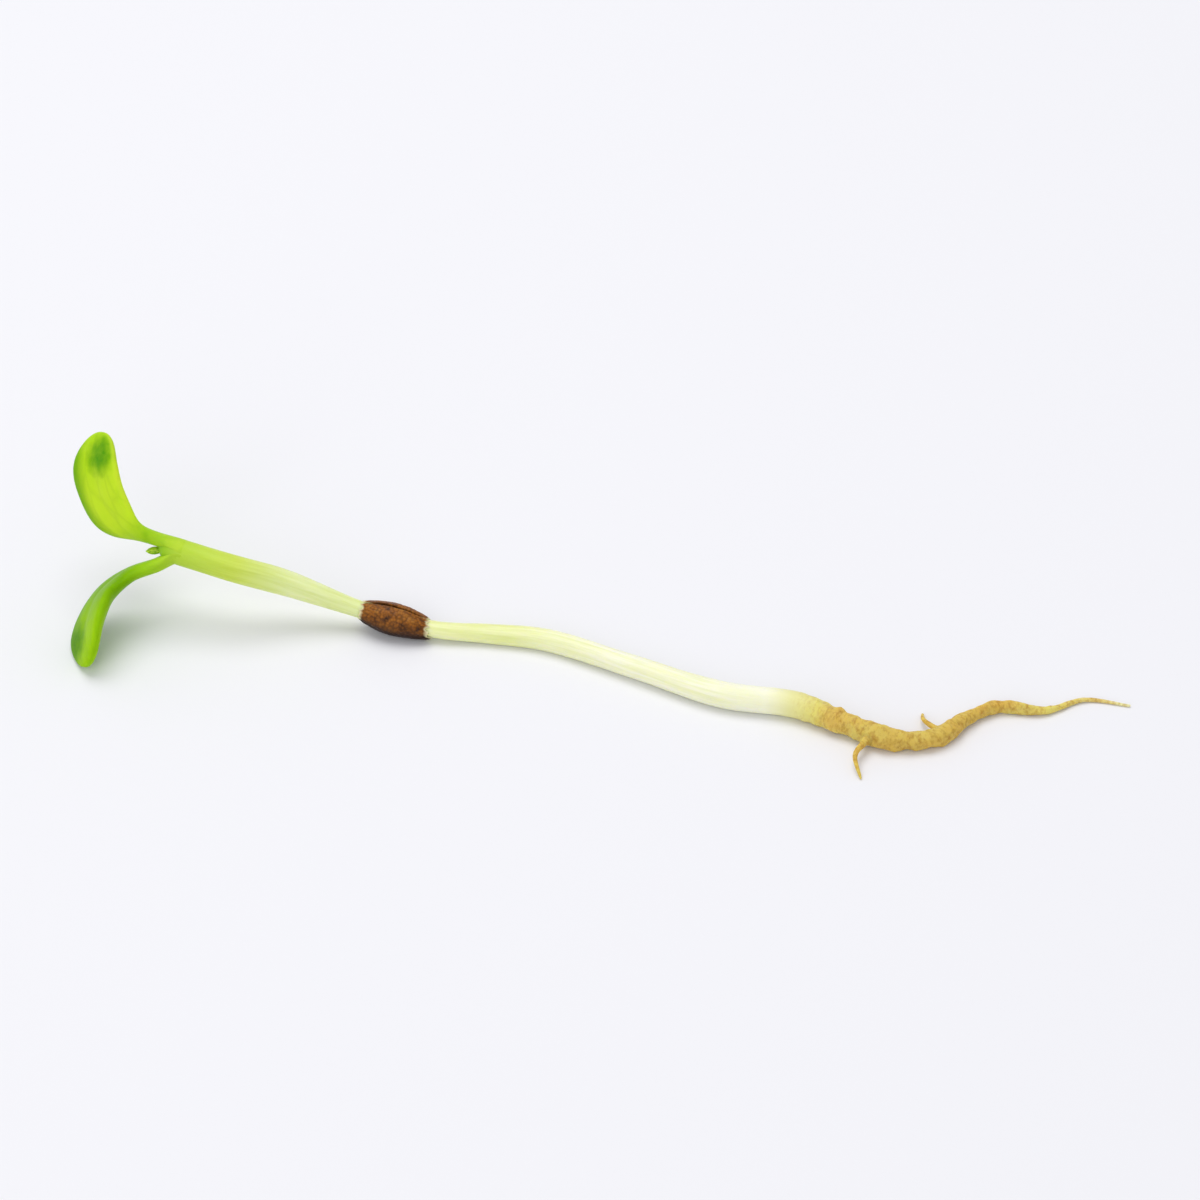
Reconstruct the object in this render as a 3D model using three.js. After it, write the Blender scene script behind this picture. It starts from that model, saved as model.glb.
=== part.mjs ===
// An alfalfa sprout about a week old, lying on a flat surface. A white stem lifts at its leafy end, where two
// fleshy seed leaves spread from a fork. The husk of the seed is still round the stem, and a tan root ends it.
//
// Millimetres, +Z up, +X from the seed leaves towards the root tip. The surface it lies on is z = 0.

import * as THREE from "three";

// ---- Driving dimensions ----

const FORK_HEIGHT = 3.0;

// The middle line of stem and root, as one curve from the fork to the tail of the root.
const AXIS_POINTS = [
  [0, 0, FORK_HEIGHT],
  [1.9, -0.43, 2.6],
  [4.0, -0.45, 1.85],
  [6.7, -0.8, 0.88],
  [8.3, -1.23, 0.62],
  [9.8, -1.56, 0.44],
  [11.9, -1.72, 0.36],
  [14.0, -2.1, 0.38],
  [17.3, -3.7, 0.43],
  [20.7, -5.4, 0.47],
  [23.6, -6.05, 0.48],
  [25.4, -7.1, 0.45],
  [27.1, -7.9, 0.4],
  [28.8, -7.75, 0.34],
  [29.9, -6.7, 0.32],
  [31.2, -5.9, 0.26],
  [33.0, -6.0, 0.17],
  [34.6, -5.3, 0.1],
  [36.3, -5.6, 0.05],
];
const STEM_LENGTH = 24.8; // fork to root collar, along the middle line

const STEM_SIDES = 12;
const ROOT_SIDES = 10;
const ROOTLET_SIDES = 8;
const BUD_SIDES = 8;
const JOIN_GAP = 0.02; // between pieces that grow out of each other

// Radius against distance from the start of the piece.
const STEM_RADII = [
  [0, 0.52],
  [3.4, 0.52],
  [7.4, 0.35],
  [10.2, 0.34],
  [14, 0.42],
  [19, 0.47],
  [24.8, 0.52],
];
const ROOT_RADII = [
  [0, 0.52],
  [1.2, 0.49],
  [2.4, 0.42],
  [3.4, 0.46],
  [5.2, 0.35],
  [6.2, 0.38],
  [8.2, 0.24],
  [9.4, 0.25],
  [11.4, 0.12],
  [15, 0.05],
];

// The seed leaves: half width and half thickness against the share of the leaf's length, stalk included.
const LEAF_HALF_WIDTHS = [
  [0, 0.42],
  [0.16, 0.4],
  [0.28, 0.5],
  [0.45, 0.92],
  [0.6, 1.22],
  [0.76, 1.3],
  [0.88, 1.14],
  [0.96, 0.76],
  [1, 0.34],
];
const LEAF_HALF_THICKNESSES = [
  [0, 0.23],
  [0.3, 0.28],
  [0.6, 0.35],
  [0.85, 0.3],
  [1, 0.12],
];
const LEAF_SIDES = 14;
const LEAF_RINGS = 25;
const FORK_OFFSET = 0.27; // from the stem's middle to the middle of each stalk's foot
const FORK_SPLIT = [0, 0.55, 0.83]; // from the lower stalk to the upper one
const FOOT_LENGTH = 0.35; // each stalk leaves the stem straight for this far

// Each leaf's middle line, from the fork, and where its upper face looks at the foot and on the blade.
const UPPER_LEAF = {
  line: [
    [-1.0, 0.34, 0.42],
    [-2.0, 0.66, 0.72],
    [-2.85, 1.45, 1.3],
    [-3.25, 2.4, 2.2],
    [-3.25, 3.55, 3.1],
  ],
  footFaces: [0, -0.55, -0.83],
  bladeFaces: [-0.67, -0.69, 0.26],
};
const LOWER_LEAF = {
  line: [
    [-1.0, -0.28, -0.4],
    [-2.05, -0.5, -0.72],
    [-2.98, -1.12, -1.28],
    [-3.42, -2.22, -1.75],
    [-3.56, -3.71, -2.58],
  ],
  footFaces: [0, 0.55, 0.83],
  bladeFaces: [-0.78, 0.2, 0.6],
};

// The bud between the two stalks: its middle line from the fork, and radius against the share of its length.
const BUD_LINE = [
  [-0.45, 0.08, 0.08],
  [-1.4, 0.06, 0.02],
];
const BUD_RADII = [
  [0, 0.03],
  [0.35, 0.05],
  [0.75, 0.15],
  [0.9, 0.12],
  [1, 0.05],
];

// The husk, a sleeve split along its top.
const HUSK_MIDDLE = 8.65; // distance from the fork
const HUSK_LENGTH = 2.4;
const HUSK_END_RADIUS = 0.47;
const HUSK_MIDDLE_RADIUS = 0.66;
const HUSK_WALL = 0.1;
const HUSK_SLIT_DEGREES = 16;
const HUSK_SLIT_AT_DEGREES = 95; // from level, on the side the leaves nod to, up over the top

// The side roots: where they leave the taproot, on which side of it, how long and how thick they are.
const SIDE_ROOTLETS = [
  { name: "side_rootlet_1", at: 3.4, side: 1, length: 1.9, foot: 0.15, tip: 0.05 },
  { name: "side_rootlet_2", at: 6.3, side: -1, length: 1.4, foot: 0.13, tip: 0.05 },
];
const ROOTLET_LEAN = 0.45; // towards the tail, as a share of the way out

// ---- Materials ----

function skin(color, roughness) {
  return new THREE.MeshStandardMaterial({ color, roughness, metalness: 0 });
}

const STEM_SKIN = skin("#eef3c4", 0.42);
const UPPER_LEAF_SKIN = skin("#a5d21e", 0.38);
const LOWER_LEAF_SKIN = skin("#76b30c", 0.38);
const BUD_SKIN = skin("#c3d84e", 0.45);
const HUSK_SKIN = skin("#80501c", 0.5);
const ROOT_SKIN = skin("#ddcd63", 0.6);

// ---- Shaping ----

function vector(point) {
  return new THREE.Vector3(...point);
}

function curveThrough(points) {
  const curve = new THREE.CatmullRomCurve3(points.map(vector), false, "centripetal");
  curve.arcLengthDivisions = 800;
  return curve;
}

// The value at a place, between stops of [place, value].
function valueAt(stops, place) {
  const next = stops.findIndex(([stop]) => stop >= place);
  if (next === 0) return stops[0][1];
  if (next < 0) return stops.at(-1)[1];
  const [from, fromValue] = stops[next - 1];
  const [to, toValue] = stops[next];
  return THREE.MathUtils.mapLinear(place, from, to, fromValue, toValue);
}

// The axes of a section: `across` and `out` are square to the curve, and `out` leans towards `facing`.
function sectionAxes(curve, share, facing) {
  const along = curve.getTangentAt(share);
  const across = new THREE.Vector3().crossVectors(along, facing).normalize();
  const out = new THREE.Vector3().crossVectors(across, along);
  return { centre: curve.getPointAt(share), across, out };
}

// A closed solid along a stretch of a curve. `halves(share)` gives the half width and half thickness of its
// section, and `facing(share)` the way its thickness points, both against the share of the stretch.
function sweptSolid(curve, { from = 0, to = 1, sides, rings, halves, facing = () => vector([0, 0, 1]) }) {
  const geometry = new THREE.CylinderGeometry(1, 1, 1, sides, rings, false, Math.PI / sides);
  const position = geometry.getAttribute("position");
  for (let i = 0; i < position.count; i += 1) {
    const share = THREE.MathUtils.clamp(position.getY(i) + 0.5, 0, 1);
    const [halfWidth, halfThickness] = halves(share);
    const { centre, across, out } = sectionAxes(curve, THREE.MathUtils.lerp(from, to, share), facing(share));
    centre.addScaledVector(across, position.getX(i) * halfWidth);
    centre.addScaledVector(out, position.getZ(i) * halfThickness);
    position.setXYZ(i, centre.x, centre.y, centre.z);
  }
  return geometry;
}

// Soft tissue lies flat where it presses on the surface.
function settle(geometry, surface = 0) {
  const position = geometry.getAttribute("position");
  for (let i = 0; i < position.count; i += 1) {
    position.setZ(i, Math.max(position.getZ(i), surface));
  }
  return geometry;
}

function named(name, geometry, material) {
  const mesh = new THREE.Mesh(geometry, material);
  mesh.name = name;
  return mesh;
}

// ---- Stem and root ----

const axis = curveThrough(AXIS_POINTS);
const axisLength = axis.getLength();
const rootLength = axisLength - STEM_LENGTH - JOIN_GAP;

function makeStem() {
  const geometry = sweptSolid(axis, {
    to: STEM_LENGTH / axisLength,
    sides: STEM_SIDES,
    rings: 36,
    halves: (share) => Array(2).fill(valueAt(STEM_RADII, share * STEM_LENGTH)),
  });
  return named("stem", settle(geometry), STEM_SKIN);
}

function makeTaproot() {
  const geometry = sweptSolid(axis, {
    from: (STEM_LENGTH + JOIN_GAP) / axisLength,
    sides: ROOT_SIDES,
    rings: 34,
    halves: (share) => Array(2).fill(valueAt(ROOT_RADII, share * rootLength)),
  });
  return named("taproot", settle(geometry), ROOT_SKIN);
}

// A side root starts square to the taproot's skin and bends towards the tail.
function makeSideRootlet({ name, at, side, length, foot, tip }) {
  const share = (STEM_LENGTH + at) / axisLength;
  const along = axis.getTangentAt(share);
  const { centre, across } = sectionAxes(axis, share, vector([0, 0, 1]));
  const outwards = across.multiplyScalar(side);
  const start = centre.clone().addScaledVector(outwards, valueAt(ROOT_RADII, at) + JOIN_GAP);
  const bend = start.clone().addScaledVector(outwards, length / 2);
  const end = bend.clone().addScaledVector(outwards.lerp(along, ROOTLET_LEAN).normalize(), length / 2);
  end.z = tip;
  const geometry = sweptSolid(curveThrough([start.toArray(), bend.toArray(), end.toArray()]), {
    sides: ROOTLET_SIDES,
    rings: 6,
    halves: (shareOut) => Array(2).fill(THREE.MathUtils.lerp(foot, tip, shareOut)),
  });
  return named(name, settle(geometry), ROOT_SKIN);
}

// ---- Seed leaves and bud ----

function makeLeaf(name, { line, footFaces, bladeFaces }, side, material) {
  const backwards = axis.getTangentAt(0).negate();
  const foot = vector(FORK_SPLIT).projectOnPlane(backwards).setLength(FORK_OFFSET * side);
  foot.addScaledVector(backwards, JOIN_GAP);
  const footEnd = foot.clone().addScaledVector(backwards, FOOT_LENGTH);
  const curve = curveThrough([foot.toArray(), footEnd.toArray(), ...line]);
  const geometry = sweptSolid(curve, {
    sides: LEAF_SIDES,
    rings: LEAF_RINGS,
    halves: (share) => [valueAt(LEAF_HALF_WIDTHS, share), valueAt(LEAF_HALF_THICKNESSES, share)],
    facing: (share) => vector(footFaces).lerp(vector(bladeFaces), THREE.MathUtils.smoothstep(share, 0.05, 0.5)),
  });
  return named(name, settle(geometry, -FORK_HEIGHT), material);
}

function makeBud() {
  const foot = axis.getTangentAt(0).multiplyScalar(-JOIN_GAP);
  const geometry = sweptSolid(curveThrough([foot.toArray(), ...BUD_LINE]), {
    sides: BUD_SIDES,
    rings: 10,
    halves: (share) => Array(2).fill(valueAt(BUD_RADII, share)),
  });
  return named("first_leaf_bud", geometry, BUD_SKIN);
}

// ---- Husk ----

// A box bent round the stem: its width goes round, its height along and its depth through the wall.
function makeHusk() {
  const geometry = new THREE.BoxGeometry(1, 1, 1, 18, 10, 1);
  const position = geometry.getAttribute("position");
  const turn = THREE.MathUtils.degToRad(360 - HUSK_SLIT_DEGREES);
  const seam = THREE.MathUtils.degToRad(HUSK_SLIT_AT_DEGREES);
  for (let i = 0; i < position.count; i += 1) {
    const share = position.getY(i) + 0.5;
    const bulge = Math.sin(Math.PI * share) ** 0.8;
    const outer = THREE.MathUtils.lerp(HUSK_END_RADIUS, HUSK_MIDDLE_RADIUS, bulge);
    const radius = outer - (0.5 - position.getZ(i)) * HUSK_WALL;
    const angle = seam + Math.PI - position.getX(i) * turn;
    const place = (HUSK_MIDDLE + (share - 0.5) * HUSK_LENGTH) / axisLength;
    const { centre, across, out } = sectionAxes(axis, place, vector([0, 0, 1]));
    centre.addScaledVector(across, Math.cos(angle) * radius);
    centre.addScaledVector(out, Math.sin(angle) * radius);
    position.setXYZ(i, centre.x, centre.y, centre.z);
  }
  return named("seed_coat", settle(geometry), HUSK_SKIN);
}

// ---- The sprout ----

const head = new THREE.Group();
head.position.z = FORK_HEIGHT;
head.add(
  makeLeaf("cotyledon_upper", UPPER_LEAF, 1, UPPER_LEAF_SKIN),
  makeLeaf("cotyledon_lower", LOWER_LEAF, -1, LOWER_LEAF_SKIN),
  makeBud(),
);

const sprout = new THREE.Group();
sprout.add(makeStem(), head, makeHusk(), makeTaproot(), ...SIDE_ROOTLETS.map(makeSideRootlet));

// The origin is under the middle of the sprout, on the surface.
sprout.updateMatrixWorld(true);
const extent = new THREE.Box3().setFromObject(sprout, true);
const middle = extent.getCenter(new THREE.Vector3());
sprout.position.set(-middle.x, -middle.y, -extent.min.z);

export default sprout;
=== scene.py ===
"""An alfalfa sprout lying on a white surface, laid out as an add-on and run as a script.

One white stem carries two fleshy seed leaves and a small bud at its leafy end and a wrinkled tan root
at the other, with the split husk of its seed still round it. Each piece or pair of like pieces has its
own operator, and a last one sets the floor, the lights and the camera. Names that end in MM, and all
points and distances until in_frame places them, are in millimetres.
"""

import math

import bmesh
import bpy
from bpy.props import FloatProperty, FloatVectorProperty, PointerProperty
from bpy.types import Operator, Panel, PropertyGroup
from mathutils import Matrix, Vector, noise


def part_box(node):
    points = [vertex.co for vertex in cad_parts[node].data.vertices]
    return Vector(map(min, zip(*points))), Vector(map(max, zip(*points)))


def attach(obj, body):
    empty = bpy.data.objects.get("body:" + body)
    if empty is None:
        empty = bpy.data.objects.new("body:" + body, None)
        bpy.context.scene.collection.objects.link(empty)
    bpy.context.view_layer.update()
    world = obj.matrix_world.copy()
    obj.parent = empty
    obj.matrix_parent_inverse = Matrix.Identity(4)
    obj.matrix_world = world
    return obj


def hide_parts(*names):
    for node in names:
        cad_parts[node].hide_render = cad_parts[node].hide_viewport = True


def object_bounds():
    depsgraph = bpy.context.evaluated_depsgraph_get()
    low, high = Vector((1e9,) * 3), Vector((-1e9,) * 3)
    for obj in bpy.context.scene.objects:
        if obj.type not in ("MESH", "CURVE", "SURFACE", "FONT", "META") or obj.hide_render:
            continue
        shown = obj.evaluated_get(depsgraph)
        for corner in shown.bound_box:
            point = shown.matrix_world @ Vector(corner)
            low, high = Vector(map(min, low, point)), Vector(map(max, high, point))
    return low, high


bl_info = {
    "name": "Alfalfa Sprout",
    "version": (1, 0, 0),
    "blender": (4, 5, 0),
    "location": "View3D > Sidebar > Sprout",
    "description": "Grows an alfalfa sprout round its measured frame and lights it",
    "category": "Add Mesh",
}

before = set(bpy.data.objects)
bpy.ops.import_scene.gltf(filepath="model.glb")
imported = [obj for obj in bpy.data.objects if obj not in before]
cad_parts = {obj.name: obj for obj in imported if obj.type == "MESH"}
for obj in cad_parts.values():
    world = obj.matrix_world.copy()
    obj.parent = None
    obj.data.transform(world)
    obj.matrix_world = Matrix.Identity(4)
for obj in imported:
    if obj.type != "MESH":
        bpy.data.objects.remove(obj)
cad_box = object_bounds()

MM = 0.001
UP = Vector((0, 0, 1))

# ---- The sprout's measurements, as its solids have them ----

FORK_HEIGHT_MM = 3.0

# The middle line of stem and root, from the fork of the seed leaves to the tail of the root.
AXIS_POINTS = [
    (0, 0, FORK_HEIGHT_MM),
    (1.9, -0.43, 2.6),
    (4.0, -0.45, 1.85),
    (6.7, -0.8, 0.88),
    (8.3, -1.23, 0.62),
    (9.8, -1.56, 0.44),
    (11.9, -1.72, 0.36),
    (14.0, -2.1, 0.38),
    (17.3, -3.7, 0.43),
    (20.7, -5.4, 0.47),
    (23.6, -6.05, 0.48),
    (25.4, -7.1, 0.45),
    (27.1, -7.9, 0.4),
    (28.8, -7.75, 0.34),
    (29.9, -6.7, 0.32),
    (31.2, -5.9, 0.26),
    (33.0, -6.0, 0.17),
    (34.6, -5.3, 0.1),
    (36.3, -5.6, 0.05),
]
STEM_LENGTH_MM = 24.8

STEM_END_MM = 0.52  # the solid's radius at the fork
CROTCH_MM = 0.95  # how far the stem's rounded end fills the crotch between the stalks

# Radius against distance from the start of the piece.
STEM_RADII_MM = [
    (0, STEM_END_MM),
    (3.4, 0.52),
    (7.4, 0.35),
    (10.2, 0.34),
    (14, 0.42),
    (19, 0.47),
    (STEM_LENGTH_MM, 0.52),
]
ROOT_RADII_MM = [
    (0, 0.52),
    (1.2, 0.49),
    (2.4, 0.42),
    (3.4, 0.46),
    (5.2, 0.35),
    (6.2, 0.38),
    (8.2, 0.24),
    (9.4, 0.25),
    (11.4, 0.12),
    (15, 0.05),
]
LAP_MM = 0.4  # how far stem and root reach into each other
LAP_NARROWING = 0.04  # of each in the other, as a share of its radius

# The seed leaves: half width and half thickness against the share of the leaf past the fork, before the
# rounded tip narrows them.
LEAF_HALF_WIDTHS_MM = [(0, 0.42), (0.14, 0.4), (0.26, 0.5), (0.42, 0.95), (0.57, 1.23), (0.74, 1.29)]
LEAF_HALF_THICKNESSES_MM = [(0, 0.28), (0.3, 0.28), (0.6, 0.34), (0.9, 0.31)]
LEAF_CUP_SHADE_MM = (0.5, 0.25, 5.35)  # the painted shade in the cup near the tip: across, out, and past the fork
FORK_OFFSET_MM = 0.27  # from the stem's middle to the middle of each stalk's foot
FORK_SPLIT = Vector((0, 0.55, 0.83))  # from the lower stalk to the upper one
FOOT_LENGTH_MM = 0.22  # each stalk leaves the stem straight for this far
SUNK_MM = 0.3  # each stalk starts this far inside the stem
HALF_ROUND_MM = 1.1  # each stalk starts as half of the stem and has its own section from here on

# Each leaf's middle line, from the fork, and where its upper face looks at the foot and on the blade.
UPPER_LEAF = {
    "line": [
        (-1.0, 0.34, 0.42),
        (-2.0, 0.66, 0.72),
        (-2.85, 1.45, 1.3),
        (-3.25, 2.4, 2.2),
        (-3.25, 3.55, 3.1),
    ],
    "foot_faces": Vector((0, -0.55, -0.83)),
    "blade_faces": Vector((-0.67, -0.69, 0.26)),
    # How strongly the thin rim takes its pale colour and painted highlight.
    "rim_highlight": 0.6,
}
LOWER_LEAF = {
    "line": [
        (-1.0, -0.28, -0.4),
        (-2.05, -0.5, -0.72),
        (-2.98, -1.12, -1.28),
        (-3.42, -2.22, -1.75),
        (-3.56, -3.71, -2.58),
    ],
    "foot_faces": Vector((0, 0.55, 0.83)),
    "blade_faces": Vector((-0.78, 0.2, 0.6)),
    "rim_highlight": 0.3,
}

# The bud's middle line, from the fork, and its radius against the share of its length.
BUD_LINE = [(-0.45, 0.08, 0.08), (-1.4, 0.06, 0.02)]
BUD_RADII_MM = [(0, 0.03), (0.45, 0.08), (0.76, 0.15), (0.9, 0.11), (1, 0.02)]

HUSK_MIDDLE_MM = 8.65  # from the fork, along the stem
HUSK_LENGTH_MM = 2.4
HUSK_END_RADIUS_MM = 0.45
HUSK_MIDDLE_RADIUS_MM = 0.66

# The side roots: where they leave the taproot, on which side, their length and the radius of each end.
SIDE_ROOTLETS = [
    {"name": "side_rootlet_1", "at": 3.4, "side": 1, "length": 1.9, "foot": 0.15, "tip": 0.05},
    {"name": "side_rootlet_2", "at": 6.3, "side": -1, "length": 1.4, "foot": 0.13, "tip": 0.05},
]
ROOTLET_LEAN = 0.45  # towards the tail, as a share of the way out


# ---- Curves ----


def hermite(start, leave, end, arrive, share):
    """The cubic from start to end that leaves and arrives at those rates."""
    square, cube = share * share, share * share * share
    return (
        start * (2 * cube - 3 * square + 1)
        + leave * (cube - 2 * square + share)
        + end * (3 * square - 2 * cube)
        + arrive * (cube - square)
    )


def smooth_value(stops, place):
    """The value at a place, on a smooth line through stops of (place, value) that never overshoots."""
    if place <= stops[0][0]:
        return stops[0][1]
    if place >= stops[-1][0]:
        return stops[-1][1]
    first = max(index for index, stop in enumerate(stops) if stop[0] <= place)

    def rise(index):
        (near, low), (far, high) = stops[index], stops[index + 1]
        return (high - low) / (far - near)

    def slope(index):
        if index in (0, len(stops) - 1):
            return 0.0
        before, after = rise(index - 1), rise(index)
        return 0.0 if before * after <= 0 else 2 * before * after / (before + after)

    (near, low), (far, high) = stops[first], stops[first + 1]
    gap = far - near
    return hermite(low, slope(first) * gap, high, slope(first + 1) * gap, (place - near) / gap)


def smoothstep(low, high, place):
    """0 up to low, 1 from high, and smooth between."""
    share = min(max((place - low) / (high - low), 0.0), 1.0)
    return share * share * (3 - 2 * share)


class Route:
    """A centripetal curve through points, walked by distance, straight past both ends."""

    steps = 30  # between two points
    reach = 0.08  # to either side, for the direction of travel

    def __init__(self, points):
        points = [Vector(point) for point in points]
        fenced = [points[0] * 2 - points[1], *points, points[-1] * 2 - points[-2]]
        self.places = [points[0]]
        for four in zip(fenced, fenced[1:], fenced[2:], fenced[3:]):
            self.places += [self.between(*four, step / self.steps) for step in range(1, self.steps + 1)]
        self.distances = [0.0]
        for near, far in zip(self.places, self.places[1:]):
            self.distances.append(self.distances[-1] + (far - near).length)
        self.length = self.distances[-1]

    @staticmethod
    def between(before, start, end, after, share):
        """A point between start and end."""
        pairs = ((before, start), (start, end), (end, after))
        first, gap, last = [(far - near).length ** 0.5 for near, far in pairs]
        leave = (start - before) / first - (end - before) / (first + gap) + (end - start) / gap
        arrive = (end - start) / gap - (after - start) / (gap + last) + (after - end) / last
        return hermite(start, leave * gap, end, arrive * gap, share)

    def point(self, distance):
        """The point at a distance from the start."""
        low, high = 0, len(self.distances) - 1
        while high - low > 1:
            middle = (low + high) // 2
            low, high = (middle, high) if self.distances[middle] <= distance else (low, middle)
        share = (distance - self.distances[low]) / (self.distances[high] - self.distances[low])
        return self.places[low].lerp(self.places[high], share)

    def along(self, distance):
        """The direction of travel at a distance from the start."""
        return (self.point(distance + self.reach) - self.point(distance - self.reach)).normalized()

    def section(self, distance, facing=UP):
        """A section's middle and its two directions: across, and out, which leans towards facing."""
        along = self.along(distance)
        across = along.cross(facing).normalized()
        return self.point(distance), across, across.cross(along)


axis = Route(AXIS_POINTS)


def fork_place():
    """The fork in the frame: the stem's solid has its lowest X and highest Y on its ring there."""
    low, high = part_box("stem")
    start = axis.along(0)
    reach_x = STEM_END_MM * MM * math.sqrt(1 - start.x**2)
    reach_y = STEM_END_MM * MM * math.sqrt(1 - start.y**2)
    return Vector((low.x + reach_x, high.y - reach_y, 0))


FORK = fork_place()


def in_frame(point):
    """A point in millimetres from under the fork as a place in the frame, never under the floor."""
    place = FORK + point * MM
    place.z = max(place.z, 0.0)
    return place


# ---- Growing skins ----


def steps_between(start, end, count):
    """count + 1 evenly spaced distances."""
    return [start + (end - start) * step / count for step in range(count + 1)]


def on_section(section, angle, radius, distance, tallness=1.0):
    """A vertex at an angle round a section: its point, and its point if the piece were straight."""
    centre, across, out = section
    side, rise = math.cos(angle) * radius, math.sin(angle) * radius * tallness
    return centre + across * side + out * rise, Vector((side, rise, distance))


def round_noise(angle, fineness, place):
    """Smooth noise round a piece, the same at the end of a turn as at its start."""
    return noise.noise(Vector((math.cos(angle) * fineness, math.sin(angle) * fineness, place)))


def grow(sides, stations, place):
    """A mesh of a ring of edges extruded through the stations and closed at both ends.

    place(station, angle) gives a vertex's point, and its point if the piece were straight. The materials
    read the second, so that their patterns follow the piece.
    """
    bm = bmesh.new()
    around = bm.verts.layers.int.new("around")
    straight = bm.verts.layers.float_vector.new("straight")
    ring = bmesh.ops.create_circle(bm, segments=sides, radius=1.0)["verts"]
    for index, vertex in enumerate(ring):
        vertex[around] = index
    edges = bm.edges[:]
    for number, station in enumerate(stations):
        if number:
            grown = bmesh.ops.extrude_edge_only(bm, edges=edges)["geom"]
            ring = [item for item in grown if isinstance(item, bmesh.types.BMVert)]
            fresh = set(ring)
            sides_and_ring = [item for item in grown if isinstance(item, bmesh.types.BMEdge)]
            edges = [edge for edge in sides_and_ring if fresh.issuperset(edge.verts)]
        for vertex in ring:
            point, unbent = place(station, math.tau * vertex[around] / sides)
            vertex.co = in_frame(point)
            vertex[straight] = unbent * MM
    caps = bmesh.ops.holes_fill(bm, edges=bm.edges[:], sides=0)["faces"]
    for vertex in bmesh.ops.poke(bm, faces=caps)["verts"]:
        rim = [edge.other_vert(vertex)[straight] for edge in vertex.link_edges]
        vertex[straight] = sum(rim, Vector()) / len(rim)
    bmesh.ops.recalc_face_normals(bm, faces=bm.faces[:])
    return bm


def finish_piece(context, bm, node, material):
    """Makes the mesh a piece, smooth and subdivided, that shows in place of a CAD node."""
    if "around" in bm.verts.layers.int:
        bm.verts.layers.int.remove(bm.verts.layers.int["around"])
    for face in bm.faces:
        face.smooth = True
    mesh = bpy.data.meshes.new("sprout_" + node)
    bm.to_mesh(mesh)
    bm.free()
    mesh.materials.append(material)
    piece = bpy.data.objects.new("sprout_" + node, mesh)
    context.scene.collection.objects.link(piece)
    smoother = piece.modifiers.new("smoother", "SUBSURF")
    smoother.levels = smoother.render_levels = 1
    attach(piece, "root")
    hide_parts(node)


# ---- Materials ----

# Each pattern's scale is 1 over the size of its features.

# What stem and root share. Red and green light goes furthest into the tissue.
MOIST_SKIN = {
    "IOR": 1.38,
    "Specular IOR Level": 0.22,
    "Subsurface Radius": (1.0, 0.92, 0.3),
    "Subsurface Scale": 0.3 * MM,
}


def linear(hexadecimal):
    """An sRGB hex colour as linear red, green, blue and alpha."""
    shares = [int(hexadecimal[start : start + 2], 16) / 255 for start in (1, 3, 5)]
    return [s / 12.92 if s <= 0.04045 else ((s + 0.055) / 1.055) ** 2.4 for s in shares] + [1.0]


def new_material(name):
    """A new material and its node tree, emptied."""
    material = bpy.data.materials.new(name)
    material.use_nodes = True
    material.node_tree.nodes.clear()
    return material, material.node_tree


def add(tree, kind, inputs, stops=None, **settings):
    """Adds a node and sets it up. An input gets a value, or a link from a socket or a node's first."""
    node = tree.nodes.new("ShaderNode" + kind)
    for name, value in settings.items():
        setattr(node, name, value)
    for name, value in inputs.items():
        if isinstance(value, bpy.types.Node):
            value = value.outputs[0]
        if isinstance(value, bpy.types.NodeSocket):
            tree.links.new(value, node.inputs[name])
        else:
            node.inputs[name].default_value = value
    if stops:
        elements = node.color_ramp.elements
        while len(elements) < len(stops):
            elements.new(0.5)
        for element, (place, colour) in zip(elements, stops):
            element.position, element.color = place, colour
    return node


def place_on_piece(tree):
    """The place if the piece were straight, and its parts: X across, Y out and Z along."""
    straight = add(tree, "Attribute", {}, attribute_name="straight").outputs["Vector"]
    return straight, add(tree, "SeparateXYZ", {"Vector": straight}).outputs


def ramp_by_mm(tree, distance, stops):
    """Colours against a distance along the piece, with the stops given in millimetres."""
    start, end = stops[0][0], stops[-1][0]
    share = add(tree, "MapRange", {"Value": distance, "From Min": start * MM, "From Max": end * MM})
    shares = [((place - start) / (end - start), colour) for place, colour in stops]
    return add(tree, "ValToRGB", {"Fac": share}, stops=shares)


def fading_at_joins(tree, distance, value, *joins):
    """A value that fades to 0 at each join, so that the join doesn't show.

    A join is the distance where it is and the distance from which the value is whole, in millimetres.
    """
    for join, whole in joins:
        inputs = {"Value": distance, "From Min": join * MM, "From Max": whole * MM, "To Max": value}
        value = add(tree, "MapRange", inputs)
    return value


def layered(tree, colour, *coats, blend="MIX"):
    """A colour under coats of others, each given as how much it covers and its colour."""
    factor, under, over, mixed = 0, 6, 7, 2  # a Mix node's sockets for colours
    for cover, coat in coats:
        inputs = {factor: cover, under: colour, over: coat}
        mix = add(tree, "Mix", inputs, data_type="RGBA", blend_type=blend)
        colour = mix.outputs[mixed]
    return colour


def finish_material(material, shader):
    """Gives the material its shader, from that shader's inputs."""
    tree = material.node_tree
    add(tree, "OutputMaterial", {"Surface": add(tree, "BsdfPrincipled", shader)})
    return material


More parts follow.
